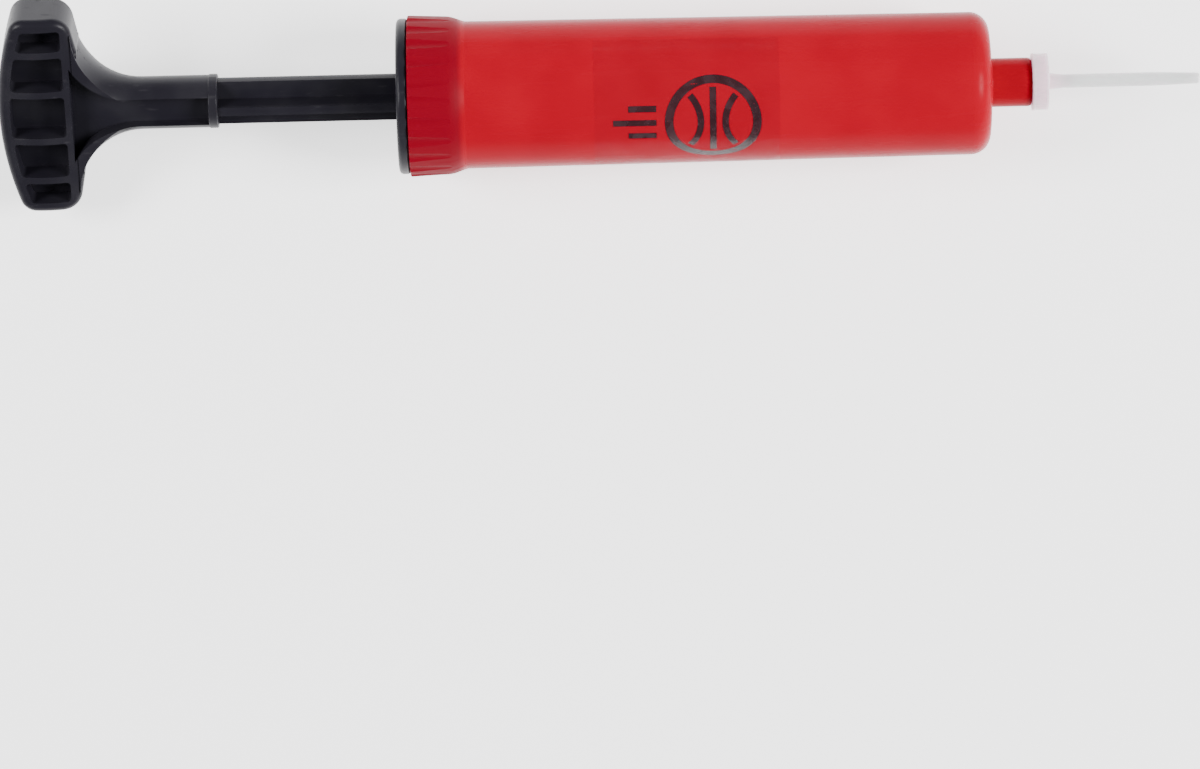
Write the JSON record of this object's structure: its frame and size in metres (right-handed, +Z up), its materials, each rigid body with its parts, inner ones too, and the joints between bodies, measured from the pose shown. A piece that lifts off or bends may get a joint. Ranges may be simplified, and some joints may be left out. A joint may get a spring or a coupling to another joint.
{
  "type": "ball inflation pump",
  "caption": "Slim hand pump for balls: tapered cylinder with a fluted collar, T-handled plunger, outlet valve and screw-in inflating needle.",
  "frame": {"origin": "middle of the footprint on the surface that the pump lies on, with the plunger as stored", "axes": "+X along the pump's axis towards the needle, +Z up"},
  "size_m": [0.236, 0.0414, 0.0317],
  "materials": {
    "red_plastic": "satin moulded polypropylene",
    "black_plastic": "semi-gloss moulded plastic",
    "milky_plastic": "translucent moulded plastic",
    "clear_film": "clear glossy film",
    "natural_plastic": "plain moulded nylon",
    "black_rubber": "soft moulded rubber",
    "steel": "bright zinc-plated"
  },
  "bodies": {
    "cylinder": {"barrel": "red_plastic", "end_cap": "black_plastic", "label_film": "clear_film", "valve_seat": "natural_plastic", "valve_spring": "steel"},
    "seal": {"piston_cup": "black_rubber"},
    "plunger": {"handle_rod": "black_plastic", "piston_head": "natural_plastic", "cup_washer": "natural_plastic", "piston_screw": "steel"},
    "outlet_valve": {"valve_disc": "black_rubber"},
    "gasket": {"needle_gasket": "black_rubber"},
    "needle": {"needle": "milky_plastic"}
  },
  "joints": [
    {"name": "plunger_slide", "type": "slide", "parent": "cylinder", "child": "seal", "axis": [-1, 0, 0], "range_m": [-0.0353, 0.0503]},
    {"name": "handle_spin", "type": "hinge", "parent": "seal", "child": "plunger", "pos_m": [-0.03756, 0, 0.01584], "axis": [1, 0, 0], "continuous": true},
    {"name": "valve_lift", "type": "slide", "parent": "cylinder", "child": "outlet_valve", "axis": [1, 0, 0], "range_m": [0, 0.0008], "stiffness_N_per_m": 60, "springref_m": -0.0005, "deforming": ["valve_spring"]},
    {"name": "needle_turn", "type": "hinge", "parent": "cylinder", "child": "gasket", "pos_m": [0.08484, 0, 0.01584], "axis": [1, 0, 0], "range_deg": [0, 1801]},
    {"name": "needle_advance", "type": "slide", "parent": "gasket", "child": "needle", "axis": [1, 0, 0], "range_m": [0, 0.005]}
  ],
  "couplings": [
    {"joint": "needle_turn", "follows": "needle_advance", "rad_per_m": 6283.2}
  ]
}
